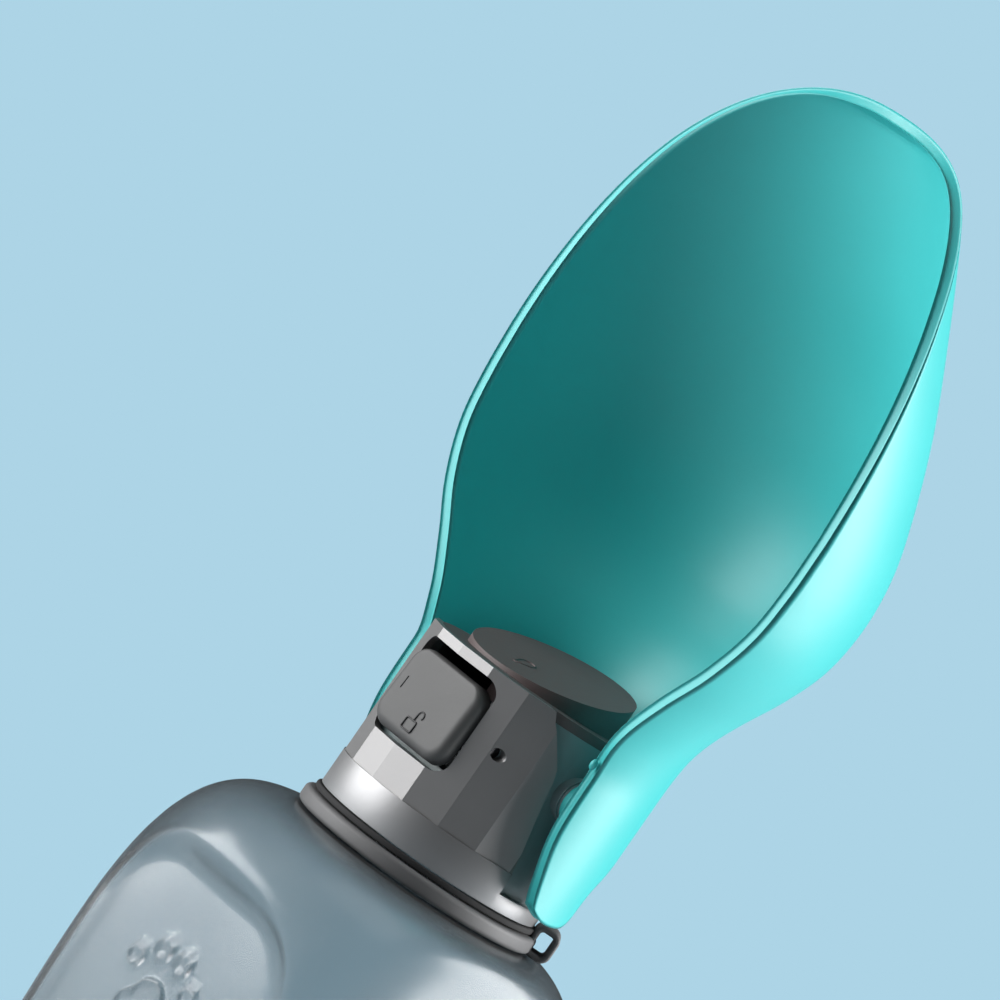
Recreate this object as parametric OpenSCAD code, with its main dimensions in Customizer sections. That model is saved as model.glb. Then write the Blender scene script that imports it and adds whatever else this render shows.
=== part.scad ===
// Dog travel water bottle: a clear bottle, a screw-on head with a rocker button
// and a water outlet, and a scoop-shaped drinking bowl that swings over the head.
// Millimetres. Z is up, the origin is the centre of the base, the button faces -Y.

/* [Bottle] */
// Widest radius of the bottle
body_r = 42.1; // [41.5:0.1:43]
// Radius of the waist
waist_r = 40.2; // [39.5:0.1:41]
// Radius of the flat foot
foot_r = 35; // [33:0.5:36]
// Wall thickness of the bottle
body_wall = 1.6; // [1.2:0.1:2]
// Height of the widest place
widest_z = 116.6; // [112:0.2:120]
// Height of the shelf that the neck stands on
shelf_z = 150.2; // [148:0.2:156]
// Distance of the side panels from the axis
side_panel_x = 31.9; // [31:0.1:34]
// Distance of the front and back panels from the axis
front_panel_y = 35; // [34.5:0.1:37]
// Depth of the punt under the base
punt_depth = 2; // [1.5:0.1:3]
// Height of the raised paw on the front panel
paw_relief = 0.8; // [0.4:0.1:1.2]

/* [Neck] */
// Bore of the neck, as a radius
neck_bore_r = 15.2; // [14.5:0.1:15.4]
// Outer radius of the neck under the thread
neck_r = 17.2; // [17:0.1:17.5]
// Outer radius of the neck inside the strap ring
ring_seat_r = 19; // [18.5:0.1:19.2]
// Height of the neck's mouth over the shelf
neck_h = 15.8; // [15:0.1:17]
// Thickness of the flange over the strap ring
flange_t = 0.9; // [0.8:0.1:1]
// Radius of the flange over the strap ring
flange_r = 21.4; // [20.5:0.1:21.5]
// Pitch of the screw thread
thread_pitch = 3; // [2.8:0.1:3.2]
// Turns of the screw thread
thread_turns = 1.5; // [1:0.25:1.5]
// Width of the thread's rib at its crest
thread_crest = 0.7; // [0.5:0.1:0.8]
// Width of the thread's rib at its root
thread_root = 1.3; // [1.1:0.1:1.3]
// Reach of the thread's rib over its wall
thread_depth = 1; // [0.8:0.1:1.1]

/* [Strap ring] */
// Outer radius of the strap ring
ring_r = 23.1; // [22.5:0.1:23.5]
// Height of the strap ring
ring_h = 3; // [2.5:0.1:3]
// Running clearance round the strap ring
ring_gap = 0.3; // [0.25:0.05:0.4]
// Direction of the strap loop, from the front towards +X
loop_dir = 134.5; // [90:0.5:180]
// Outer reach of the strap loop from the axis
loop_reach = 26.4; // [26:0.1:27.5]
// Height of the strap loop
loop_h = 6; // [5.6:0.1:6.2]
// Width of the strap loop round the ring
loop_w = 7; // [5:0.5:9]
// Thickness of the strap loop's bar
loop_bar = 1.2; // [1:0.1:1.5]

/* [Head] */
// Gap between the flange and the head
head_gap = 0.3; // [0.2:0.05:0.5]
// Radius of the round collar
collar_r = 21.3; // [21.2:0.1:21.6]
// Height of the round collar
collar_h = 6.5; // [6:0.1:7]
// Drop of the collar's top behind the shell
collar_step = 3.8; // [3:0.1:4.2]
// Corner radius of the many-sided shell
shell_r = 21.2; // [21.1:0.1:21.4]
// Number of the shell's flat sides in a full turn
shell_sides = 18; // [16:2:20]
// Outer radius of the head's core
core_r = 19.6; // [19.4:0.1:19.8]
// Wall thickness of the head's core
core_wall = 1.8; // [1.4:0.1:2]
// Inner radius of the threaded skirt
skirt_bore_r = 18.7; // [18.5:0.1:18.8]
// Height of the head's top over the collar's bottom
head_h = 32.8; // [32:0.1:34]
// Thickness of the deck over the neck
deck_t = 2; // [1.8:0.1:2.4]
// Thickness of the neck gasket
gasket_t = 1.2; // [1:0.1:1.4]
// Radius of the outlet hood
hood_r = 14.7; // [14:0.1:15.2]
// Height of the outlet hood at its front
hood_front_h = 0.7; // [0.5:0.1:1.4]
// Slope of the hood's top, in degrees
hood_slope = 12.8; // [11:0.2:15]
// Wall thickness of the outlet hood
hood_wall = 1.4; // [1.2:0.1:1.6]
// Width of the outlet in the hood
outlet_w = 15; // [12:0.5:18]

/* [Button] */
// Width of the button's opening
window_w = 20.2; // [19.8:0.2:20.6]
// Height of the button's opening
window_h = 17.9; // [17.6:0.1:18.2]
// Distance of the opening's top from the head's top
window_drop = 1.8; // [1.6:0.1:2.2]
// Corner radius of the button and its opening
window_corner = 2.8; // [2:0.2:3.4]
// Clearance at each side of the button
button_gap = 0.5; // [0.4:0.05:0.7]
// Distance of the button's flat face from the axis
button_face_y = 20.9; // [20.6:0.1:21.1]
// Height of the button at its edge
button_h = 15; // [14.5:0.1:15.1]
// Width of the bevel round the button's face
button_bevel = 1.5; // [1.2:0.1:1.8]
// Distance of the button's pivot from the axis
pivot_y = 15; // [14.8:0.1:15.2]
// Radius of the button's pivot pin
pivot_pin_r = 1; // [0.9:0.05:1.1]
// Full rock of the button, in degrees
rock = 8; // [6:0.5:8]

/* [Valve] */
// Outer radius of the valve tube
tube_r = 5.5; // [5:0.1:5.6]
// Bore of the valve tube, as a radius
tube_bore_r = 4.2; // [3.8:0.1:4.4]
// Radius of the valve's plate
plate_r = 8.5; // [8:0.1:8.8]
// Thickness of the valve's plate
plate_t = 1.5; // [1.2:0.1:1.8]
// Thickness of the valve's seal
seal_t = 1.2; // [1:0.1:1.4]
// Running clearance of the valve tube
tube_gap = 0.06; // [0.05:0.01:0.08]
// Thickness of the O-rings
oring_t = 1.4; // [1.2:0.1:1.5]
// Wire thickness of the valve spring
wire_t = 0.6; // [0.5:0.05:0.65]
// Turns of the valve spring
spring_turns = 2.5; // [2:0.5:3]

/* [Bowl] */
// Outer radius of the bowl's sleeve
sleeve_r = 26.4; // [26.2:0.1:27]
// Wall thickness of the bowl
bowl_wall = 2; // [1.8:0.1:2.1]
// Half width of the bowl's rim at its widest
bowl_w = 43.6; // [42:0.1:45]
// Height of the bowl's tip over the pivots
bowl_top = 122.7; // [118:0.5:126]
// Depth of the bowl's sleeve under the pivots
sleeve_drop = 19.6; // [17:0.1:19.8]
// Height of the bowl's pivots over the deck
hub_lift = 7.6; // [7.4:0.1:7.8]
// Radius of the bowl's hubs
hub_r = 4; // [3.6:0.1:4.2]
// Radius of the bowl's pivot pins
hub_pin_r = 1.5; // [1.3:0.1:1.6]
// Thickness of the washers that brake the bowl
washer_t = 0.5; // [0.4:0.05:0.6]
// Clearance between the washers and the hubs
hub_gap = 0.2; // [0.15:0.05:0.3]

/* [Hidden] */
$fn = 96;

// Heights of the stack, from the shelf up
ring_z = shelf_z + ring_gap;
flange_z = ring_z + ring_h + ring_gap;
head_z = flange_z + flange_t + head_gap;
collar_top = head_z + collar_h;
neck_top = shelf_z + neck_h;
deck_z = neck_top + gasket_t;
deck_top = deck_z + deck_t;
boss_r = plate_r + 0.5;
boss_h = 1.2;
boss_top = deck_top + boss_h;
head_top = head_z + head_h;
flange_plate_t = 1.7;
core_top = head_top - flange_plate_t;
hub_z = deck_top + hub_lift;
fit_gap = 0.02;
pilot_gap = 0.1;
outlet_y = 10.5;
outlet_sill = 0.2;
outlet_lintel = 1.6;
thread_start = 3.4;

// Bottle panels
front_panel_top = shelf_z - 17;
panel_bottom = 26;
front_panel_w = 48;
panel_corner = 15;
foot_band = 5;
paw_z = front_panel_top - 17;

// Shell edges in side view: [height over the collar, distance behind the front plane]
shell_edge = [[0, -2.9], [9.2, -4.9], [16.2, -6.2], [18.4, -6.9], [24.6, -11.4], [27, -12.4]];

// Button and its pivot
window_top = head_top - window_drop;
window_z = window_top - window_h;
button_high = 7.05;
button_low = button_h - button_high;
window_sill = 0.55;
pivot_z = window_z + button_low + window_sill;
button_w = window_w - 2 * button_gap;
pin_gap = 0.05;
arm_out = 9.5;
arm_in = 8;
arm_h = 2.6;
peg_r = 0.8;
peg_in = 6.2;
cheek_in = window_w / 2 + 0.3;
cheek_t = 2.2;
pin_reach = 13.6;

// Valve
lift = pivot_y * rock * PI / 180;
groove_z = pivot_z - pivot_y * sin(rock / 2);
groove_h = 2 * peg_r + 0.24;
disc_r = 7.6;
disc_t = 1;
seal_top = deck_z - 0.05 - lift;
plate_top = seal_top - seal_t;
tube_sink = 2.1;
tube_top = head_top - tube_sink;
socket_r = 7.4;
socket_h = 4.1;
socket_z = core_top - socket_h;
oring_mid_r = tube_r + tube_gap + oring_t / 2;
oring_low = deck_z + 1.65;
oring_high = socket_z + 2;
spring_room = groove_z - groove_h / 2 - disc_t - boss_top;
spring_r = 6.9;

// Screws that hold the hood
screw_x = 8;
screw_y = 8.6;
screw_r = 1.1;
screw_head_r = 2.2;
screw_head_t = 1.4;
screw_len = 11;
post_r = 2.6;
post_z = boss_top + 0.4;

// Bowl: heights count from the pivots
flare_z = 5.2;
bowl_span = bowl_top - flare_z;
boss_end = 21;
hub_in = boss_end + washer_t + hub_gap;
hub_out = sleeve_r - 1;
pin_in = 17.3;
pin_out = hub_out - 0.5;
// Lower edge of the sleeve: [share of the way from the back to the front corner,
// angle from the back, share of the sleeve's depth]
sleeve_edge = [[0, 0, -0.01], [0.18, 20, -0.04], [0.3, 33, -0.122], [0.43, 45.5, -0.255],
    [0.53, 54, -0.423], [0.61, 60.4, -0.592], [0.68, 62.2, -0.76], [0.73, 63, -0.883],
    [0.77, 66, -0.969], [0.825, 72, -1], [0.915, 82, -1], [1, 90.7, -0.929]];
// Front edge of the sleeve: [share of the way up, angle from the back]
front_edge = [[0, 90.7], [0.115, 94], [0.39, 99.5], [0.56, 101.7], [0.74, 102.5], [1, 102.8]];
sleeve_open = front_edge[len(front_edge) - 1][1];
// Shape of the scoop by the share of its height. Growth of the half width, as a share:
width_line = [[0, 0], [0.07, 0.095], [0.14, 0.35], [0.21, 0.655], [0.29, 0.885], [0.37, 0.972],
    [0.45, 1]];
// Distance of the back wall beyond the sleeve
back_line = [[0, 0], [0.1, -0.3], [0.17, 1.9], [0.24, 5.6], [0.3, 8.1], [0.37, 9], [0.44, 8.1],
    [0.51, 5.4], [0.65, -2.9], [0.78, -12.8], [0.9, -22.4], [0.97, -28], [0.99, -29.9], [1, -32.2]];
// Distance of the rim before the sleeve's rim
rim_line = [[0, 0], [0.06, 1.5], [0.14, 2.85], [0.24, 4.1], [0.38, 5.1], [0.52, 5.95],
    [0.66, 6.25], [0.78, 5.95], [0.86, 5], [0.92, 3.7], [1, 1]];
widest_end = 0.45;
tip_power = 2.2;
tip_root = 2.4;
tip_half_w = 6;
bowl_columns = 30;

// Point on a cubic curve with four control points
function bezier(p, t) = pow(1 - t, 3) * p[0] + 3 * t * pow(1 - t, 2) * p[1]
    + 3 * t * t * (1 - t) * p[2] + t * t * t * p[3];
function curve(p, n) = [for (k = [1:n]) bezier(p, k / n)];

// Smooth curve through a list of [x, y] points
function slope(p, k) = k == 0 ? 0
    : (p[min(k + 1, len(p) - 1)][1] - p[k - 1][1]) / (p[min(k + 1, len(p) - 1)][0] - p[k - 1][0]);
function piece(p, x, k = 0) = (k >= len(p) - 2 || x <= p[k + 1][0]) ? k : piece(p, x, k + 1);
function smooth(p, x) = let (k = piece(p, x), w = p[k + 1][0] - p[k][0], t = (x - p[k][0]) / w)
    (2 * t * t * t - 3 * t * t + 1) * p[k][1] + (t * t * t - 2 * t * t + t) * w * slope(p, k)
    + (3 * t * t - 2 * t * t * t) * p[k + 1][1] + (t * t * t - t * t) * w * slope(p, k + 1);

// Outline of the bottle, drawn in by an inset for its inside
function bottle_side(inset) = let (top = shelf_z - inset, r = body_r - inset, waist = waist_r - inset,
    low = inset == 0 ? 0 : inset)
    concat(
        [[foot_r - foot_band - inset / 2, inset == 0 ? 0 : punt_depth + inset], [foot_r - inset, low]],
        curve([[foot_r - inset, low], [foot_r + 4 - inset, low], [waist + 0.8, 3 + low],
            [waist + 0.8, 12 + low]], 6),
        curve([[waist + 0.8, 12 + low], [waist + 0.8, 30], [waist, 40], [waist, 60]], 4),
        curve([[waist, 60], [waist, 82], [r, 98], [r, widest_z]], 5),
        curve([[r, widest_z], [r, widest_z + 22.5 - inset / 2], [r - 6.1, top - 0.7],
            [r - 19, top]], 12)
    );

// Spiral rib that grows from a round wall, outwards or inwards
module thread(wall_r, reach, root_sink, z0) {
    steps = 24 * thread_turns;
    rings = [for (k = [0:steps]) let (a = k * 15, z = z0 + thread_pitch * k / 24)
        [for (c = [[wall_r - root_sink, -thread_root / 2], [wall_r + reach, -thread_crest / 2],
            [wall_r + reach, thread_crest / 2], [wall_r - root_sink, thread_root / 2]])
            [c[0] * cos(a), c[0] * sin(a), z + c[1]]]];
    points = [for (ring = rings) for (p = ring) p];
    sides = [for (k = [0:steps - 1]) for (j = [0:3]) let (a = 4 * k + j, b = 4 * k + (j + 1) % 4)
        each [[a, b, a + 4], [b, b + 4, a + 4]]];
    ends = [[0, 3, 2], [0, 2, 1], [4 * steps, 4 * steps + 1, 4 * steps + 2],
        [4 * steps, 4 * steps + 2, 4 * steps + 3]];
    flip = reach < 0;
    polyhedron(points, [for (f = concat(sides, ends)) flip ? [f[0], f[2], f[1]] : f]);
}

// Cylinder along X from a to b
module rod_x(a, b, r) {
    translate([a, 0, 0]) rotate([0, 90, 0]) cylinder(h = b - a, r = r);
}

// Rectangle with round corners that stands on the X axis
module rounded(w, h, r) {
    translate([-w / 2, r]) square([w, h - 2 * r]);
    translate([r - w / 2, 0]) square([w - 2 * r, h]);
    for (x = [r - w / 2, w / 2 - r]) for (y = [r, h - r]) translate([x, y]) circle(r = r);
}

// The same piece at both sides
module both_sides() {
    children();
    mirror([1, 0, 0]) children();
}

// Flat sides that are cut from the bottle
module panels(inset) {
    side = side_panel_x - inset;
    front = front_panel_y - inset;
    far = body_r + 10;
    both_sides() rotate([90, 0, 0]) linear_extrude(height = 4 * body_r, center = true)
        polygon([[side, panel_bottom - inset], [side, shelf_z], [far, shelf_z],
            [far, panel_bottom - inset - (far - side)]]);
    for (turn = [0, 180]) rotate(turn) translate([0, -front, panel_bottom - inset])
        rotate([90, 0, 0]) linear_extrude(height = body_r)
            rounded(front_panel_w + 2 * inset, front_panel_top - panel_bottom + 2 * inset,
                panel_corner + inset);
}

module bottle_solid(inset, axis_low, neck) {
    difference() {
        rotate_extrude() polygon(concat([[0, axis_low]], bottle_side(inset), neck));
        panels(inset);
    }
}

module paw() {
    toes = [[-7.4, 0], [-2.7, 3.6], [2.7, 3.6], [7.4, 0]];
    translate([0, -front_panel_y + 0.4, paw_z]) rotate([90, 0, 0])
        linear_extrude(height = paw_relief + 0.4) {
            for (t = toes) translate(t) circle(r = 2.3);
            translate([0, -5]) circle(r = 4.2);
            translate([-3.2, -7.4]) circle(r = 3);
            translate([3.2, -7.4]) circle(r = 3);
        }
}

module bottle_body() {
    color([0.56, 0.64, 0.68, 0.5]) {
        difference() {
            bottle_solid(0, 0, [[ring_seat_r, shelf_z], [ring_seat_r, flange_z],
                [flange_r, flange_z], [flange_r, flange_z + flange_t],
                [neck_r, flange_z + flange_t], [neck_r, neck_top], [0, neck_top]]);
            bottle_solid(body_wall, punt_depth + body_wall, [[neck_bore_r, shelf_z - body_wall],
                [neck_bore_r, neck_top + 1], [0, neck_top + 1]]);
            translate([0, 0, -1])
                cylinder(h = 1 + punt_depth, r1 = foot_r - foot_band + 1, r2 = foot_r - foot_band - 2);
        }
        thread(neck_r, thread_depth, 0.4, head_z + thread_start);
        paw();
    }
}

module strap_ring() {
    tall = loop_h / 2;
    mid = ring_z + tall;
    bar_in = ring_r - 0.9;
    color([0.24, 0.25, 0.27]) difference() {
        union() {
            translate([0, 0, ring_z]) cylinder(h = ring_h, r = ring_r);
            rotate(loop_dir - 90) translate([bar_in, 0, mid]) rotate([90, 0, 0])
                linear_extrude(height = loop_w, center = true)
                    polygon([[-0.6, -tall + 0.6], [0, -tall], [loop_reach - bar_in - 1.4, -tall],
                        [loop_reach - bar_in, -tall + 1.4], [loop_reach - bar_in, tall - 1.4],
                        [loop_reach - bar_in - 1.4, tall], [0, tall], [-0.6, tall - 0.6]]);
        }
        translate([0, 0, ring_z - 5]) cylinder(h = 15, r = ring_seat_r + ring_gap);
        rotate(loop_dir - 90) translate([bar_in - 0.1, -loop_w, mid - tall + loop_bar])
            cube([loop_reach - bar_in - loop_bar + 0.1, 2 * loop_w, loop_h - 2 * loop_bar]);
    }
}

module neck_gasket() {
    color([0.9, 0.9, 0.88]) translate([0, 0, neck_top]) difference() {
        cylinder(h = gasket_t, r = skirt_bore_r - 0.4);
        translate([0, 0, -1]) cylinder(h = gasket_t + 2, r = neck_bore_r);
    }
}

module cap_core() {
    color([0.2, 0.22, 0.24]) {
        difference() {
            union() {
                translate([0, 0, head_z]) cylinder(h = core_top - head_z, r = core_r);
                both_sides() translate([0, 0, hub_z]) rod_x(core_r - 3, boss_end, hub_r);
            }
            translate([0, 0, head_z - 1]) cylinder(h = deck_z - head_z + 1, r = skirt_bore_r);
            difference() {
                translate([0, 0, deck_top]) cylinder(h = head_h, r = core_r - core_wall);
                both_sides() translate([0, 0, hub_z]) rod_x(core_r - 3, boss_end, hub_r);
                translate([0, 0, deck_top]) cylinder(h = boss_top - deck_top, r = boss_r);
                both_sides() translate([cheek_in, -core_r, deck_top])
                    cube([cheek_t, core_r - pivot_y + 2.6, pivot_z - deck_top + 4]);
            }
            translate([-cheek_in, -core_r - 1, deck_top])
                cube([2 * cheek_in, core_r - pivot_y + 5, core_top - deck_top + 1]);
            translate([-cheek_in, -core_r - 1, window_z - 0.1])
                cube([2 * cheek_in, core_r - pivot_y - 0.5, deck_t + 1]);
            translate([0, 0, deck_z - 1]) cylinder(h = deck_t + 4, r = tube_r + tube_gap);
            translate([0, 0, oring_low - oring_t / 2])
                cylinder(h = oring_t, r = oring_mid_r + oring_t / 2);
            translate([0, -pivot_y, pivot_z]) rod_x(-core_r, core_r, pivot_pin_r + fit_gap);
            both_sides() translate([0, 0, hub_z]) rod_x(core_r - 4, boss_end + 1, hub_pin_r + fit_gap);
            both_sides() translate([screw_x, screw_y, deck_z - 1])
                cylinder(h = deck_t + 4, r = screw_r + pilot_gap);
        }
        rotate(180) thread(skirt_bore_r, -thread_depth, -0.3, head_z + thread_start);
    }
}

module collar() {
    color([0.45, 0.46, 0.48]) translate([0, 0, head_z]) difference() {
        cylinder(h = collar_h, r = collar_r);
        translate([0, 0, -1]) cylinder(h = collar_h + 2, r = core_r + fit_gap);
        translate([-collar_r - 1, shell_edge[0][1], collar_h - collar_step])
            cube([2 * collar_r + 2, 2 * collar_r, collar_step + 1]);
    }
}

module head_shell() {
    corners = [for (k = [0:shell_sides - 1]) let (a = 360 * k / shell_sides - 90)
        [shell_r * cos(a), shell_r * sin(a)]];
    tall = head_top - collar_top;
    edge = [for (p = shell_edge) [p[1], min(p[0], tall + 1)]];
    color([0.42, 0.43, 0.45]) translate([0, 0, collar_top]) difference() {
        linear_extrude(height = tall) polygon(corners);
        translate([0, 0, -1]) cylinder(h = tall + 2, r = core_r + fit_gap);
        rotate([90, 0, 90]) linear_extrude(height = 4 * shell_r, center = true)
            polygon(concat([[edge[0][0], -1]], edge,
                [[edge[len(edge) - 1][0], tall + 1], [2 * shell_r, tall + 1], [2 * shell_r, -1]]));
        translate([0, -1, window_z - collar_top]) rotate([90, 0, 0])
            linear_extrude(height = shell_r) rounded(window_w, window_h, window_corner);
        translate([0, -pivot_y, pivot_z - collar_top])
            rod_x(-shell_r, shell_r, pivot_pin_r + pilot_gap);
    }
}

// Everything above a plane that rises towards the back
module above_slope(front_z) {
    translate([0, -hood_r, front_z]) rotate([hood_slope, 0, 0])
        translate([-hood_r - 5, -hood_r, 0]) cube([2 * hood_r + 10, 6 * hood_r, 4 * hood_r]);
}

module outlet_hood() {
    front = head_top + hood_front_h;
    color([0.27, 0.28, 0.3]) difference() {
        union() {
            translate([0, 0, core_top]) cylinder(h = flange_plate_t, r = core_r);
            translate([0, 0, head_top]) difference() {
                cylinder(h = hood_r, r = hood_r);
                translate([0, 0, -head_top]) above_slope(front);
            }
            translate([0, 0, socket_z]) cylinder(h = head_top - socket_z, r = socket_r);
            both_sides() translate([screw_x, screw_y, post_z])
                cylinder(h = core_top - post_z + 1, r = post_r);
        }
        difference() {
            translate([0, 0, head_top]) cylinder(h = hood_r, r = hood_r - hood_wall);
            above_slope(front - hood_wall);
        }
        translate([-outlet_w / 2, outlet_y, head_top + outlet_sill])
            cube([outlet_w, hood_r, 2 * hood_r * tan(hood_slope) - outlet_lintel]);
        translate([0, 0, socket_z - 1])
            cylinder(h = head_top - socket_z + 1.5, r = tube_r + tube_gap);
        translate([0, 0, oring_high - oring_t / 2])
            cylinder(h = oring_t, r = oring_mid_r + oring_t / 2);
        both_sides() translate([screw_x, screw_y, post_z - 1])
            cylinder(h = screw_len, r = screw_r);
    }
}

module hood_screws() {
    color([0.75, 0.76, 0.78]) both_sides() translate([screw_x, screw_y, deck_z]) {
        translate([0, 0, -screw_head_t]) difference() {
            cylinder(h = screw_head_t, r = screw_head_r);
            translate([-screw_head_r, -0.3, -1]) cube([2 * screw_head_r, 0.6, 1.6]);
        }
        cylinder(h = post_z + screw_len - 2 - deck_z, r = screw_r);
    }
}

module tube_o_rings() {
    color([0.1, 0.1, 0.11]) for (z = [oring_low, oring_high]) translate([0, 0, z])
        rotate_extrude() translate([oring_mid_r, 0]) circle(r = oring_t / 2);
}

module button() {
    depth = button_face_y - pivot_y;
    side = button_w / 2;
    color([0.36, 0.37, 0.39]) translate([0, -pivot_y, pivot_z]) rotate([-rock / 2, 0, 0]) {
        intersection() {
            rotate([90, 0, 90]) linear_extrude(height = button_w, center = true)
                polygon([[-depth, button_bevel - button_low], [-depth, button_high - button_bevel],
                    [button_bevel - depth, button_high], [-2.4, button_high],
                    [-2.4, -button_low], [button_bevel - depth, -button_low]]);
            linear_extrude(height = 3 * button_h, center = true)
                polygon([[button_bevel - side, -depth], [side - button_bevel, -depth],
                    [side, button_bevel - depth], [side, 0], [-side, 0],
                    [-side, button_bevel - depth]]);
            translate([0, 0, -button_low]) rotate([90, 0, 0])
                linear_extrude(height = button_face_y) rounded(button_w, button_h, window_corner);
        }
        both_sides() {
            difference() {
                union() {
                    translate([arm_in, -3, -2.2]) cube([arm_out - arm_in, 3, 4.4]);
                    rod_x(arm_in, arm_out, 2.2);
                    translate([arm_in, 0, -arm_h / 2])
                        cube([arm_out - arm_in, pivot_y + 1.3, arm_h]);
                }
                rod_x(arm_in - 1, arm_out + 1, pivot_pin_r + pin_gap);
            }
            translate([0, pivot_y, 0]) rod_x(peg_in, arm_in, peg_r);
        }
    }
}

module button_pin() {
    color([0.75, 0.76, 0.78]) translate([0, -pivot_y, pivot_z])
        rod_x(-pin_reach, pin_reach, pivot_pin_r);
}

module valve_tube() {
    port_h = deck_z - seal_top - 0.2;
    color([0.85, 0.86, 0.87]) difference() {
        union() {
            translate([0, 0, plate_top]) cylinder(h = tube_top - plate_top, r = tube_r);
            for (end = [-1, 1])
                translate([0, 0, groove_z + end * (groove_h + disc_t) / 2 - disc_t / 2])
                    cylinder(h = disc_t, r = disc_r);
        }
        translate([0, 0, plate_top - 1]) cylinder(h = tube_top - plate_top + 2, r = tube_bore_r);
        for (turn = [0, 90]) rotate(turn)
            translate([-tube_r - 1, -2.4, seal_top]) cube([2 * tube_r + 2, 4.8, port_h]);
    }
}

module valve_plate() {
    color([0.85, 0.86, 0.87]) {
        translate([0, 0, plate_top - plate_t]) cylinder(h = plate_t, r = plate_r);
        translate([0, 0, plate_top]) cylinder(h = seal_t, r = tube_bore_r);
    }
}

module valve_seal() {
    color([0.9, 0.9, 0.88]) translate([0, 0, plate_top]) difference() {
        cylinder(h = seal_t, r = plate_r - 0.2);
        translate([0, 0, -1]) cylinder(h = seal_t + 2, r = tube_r + fit_gap);
    }
}

// One unbroken wire from the deck's boss to the tube's lower disc
module valve_spring() {
    sides = 6;
    steps = 16 * spring_turns;
    z0 = boss_top + wire_t / 2;
    rise = spring_room - wire_t;
    rings = [for (k = [0:steps]) let (a = 22.5 * k, z = z0 + rise * k / steps)
        [for (j = [0:sides - 1]) let (r = spring_r + wire_t / 2 * cos(60 * j))
            [r * cos(a), r * sin(a), z + wire_t / 2 * sin(60 * j)]]];
    sides_list = [for (k = [0:steps - 1]) for (j = [0:sides - 1])
        let (a = sides * k + j, b = sides * k + (j + 1) % sides)
            each [[a, a + sides, b], [b, a + sides, b + sides]]];
    first = [for (j = [1:sides - 2]) [0, j, j + 1]];
    last = [for (j = [1:sides - 2]) [sides * steps, sides * steps + j + 1, sides * steps + j]];
    echo(spring_gap = rise / spring_turns - wire_t);
    color([0.75, 0.76, 0.78])
        polyhedron([for (ring = rings) for (p = ring) p], concat(sides_list, first, last));
}

module brake_washers() {
    color([0.9, 0.9, 0.88]) both_sides() translate([0, 0, hub_z]) difference() {
        rod_x(boss_end, boss_end + washer_t, hub_r - 0.3);
        rod_x(boss_end - 1, boss_end + 1, hub_pin_r + fit_gap);
    }
}

module bowl_pins() {
    color([0.75, 0.76, 0.78]) both_sides() translate([0, 0, hub_z]) rod_x(pin_in, pin_out, hub_pin_r);
}

// Size of the scoop's cross-section at a share h of its height
function bowl_half_w(h) = let (narrow = sleeve_r * sin(sleeve_open),
    u = max(0, (h - widest_end) / (1 - widest_end)))
    h < widest_end ? narrow + (bowl_w - narrow) * smooth(width_line, h)
        : max(tip_half_w, bowl_w * pow(1 - pow(u, tip_power), 1 / tip_root));
function bowl_back(h) = sleeve_r + smooth(back_line, h);
function bowl_rim(h) = smooth(rim_line, h) - sleeve_r * cos(sleeve_open);

// Points of the bowl's outside; s runs from -1 at the left edge to 1 at the right edge
function column(list, k) = [for (e = list) [e[0], e[k]]];
function edge_angle(s) = sign(s) * lookup(abs(s), column(sleeve_edge, 1));
function edge_height(s) = sleeve_drop * lookup(abs(s), column(sleeve_edge, 2));
function sleeve_point(t, s) = let (front = lookup(t, front_edge),
    a = front * ((1 - t) * edge_angle(s) / front_edge[0][1] + t * s))
    [sleeve_r * sin(a), sleeve_r * cos(a), (1 - t) * edge_height(s) + t * flare_z];
function scoop_point(h, s) = let (w = bowl_half_w(h), f = bowl_rim(h), b = bowl_back(h),
    r = (w * w + (b + f) * (b + f)) / (2 * (b + f)), a = s * acos((r - b - f) / r))
    [r * sin(a), b - r + r * cos(a), flare_z + h * bowl_span];
columns = [for (j = [0:bowl_columns]) 2 * j / bowl_columns - 1];
bowl_grid = concat(
    [for (t = [0, 0.115, 0.25, 0.39, 0.56, 0.74]) [for (s = columns) sleeve_point(t, s)]],
    [for (k = [0:24]) [for (s = columns) scoop_point(1 - pow(1 - k / 24, 1.5), s)]]
);
function bowl_normal(i, j) =
    let (up = bowl_grid[min(i + 1, len(bowl_grid) - 1)][j] - bowl_grid[max(i - 1, 0)][j],
        side = bowl_grid[i][min(j + 1, bowl_columns)] - bowl_grid[i][max(j - 1, 0)],
        n = cross(side, up))
    n / norm(n);

module bowl_skin() {
    rows = len(bowl_grid);
    wide = bowl_columns + 1;
    outer = [for (row = bowl_grid) each row];
    inner = [for (i = [0:rows - 1]) for (j = [0:bowl_columns])
        bowl_grid[i][j] + bowl_wall * bowl_normal(i, j)];
    shift = rows * wide;
    sheet = [for (i = [0:rows - 2]) for (j = [0:bowl_columns - 1]) let (a = i * wide + j)
        each [[a, a + 1, a + wide], [a + 1, a + wide + 1, a + wide]]];
    rims = [for (i = [0:rows - 2]) for (j = [0, bowl_columns])
        let (a = i * wide + j, b = a + wide, turn = j == 0)
            each (turn ? [[a, b, a + shift], [b, b + shift, a + shift]]
                : [[a, a + shift, b], [b, a + shift, b + shift]])];
    ends = [for (i = [0, rows - 1]) for (j = [0:bowl_columns - 1])
        let (a = i * wide + j, b = a + 1, turn = i == 0)
            each (turn ? [[a, a + shift, b], [b, a + shift, b + shift]]
                : [[a, b, a + shift], [b, b + shift, a + shift]])];
    polyhedron(concat(outer, inner),
        concat(sheet, [for (f = sheet) [f[0] + shift, f[2] + shift, f[1] + shift]], rims, ends));
}

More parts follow.
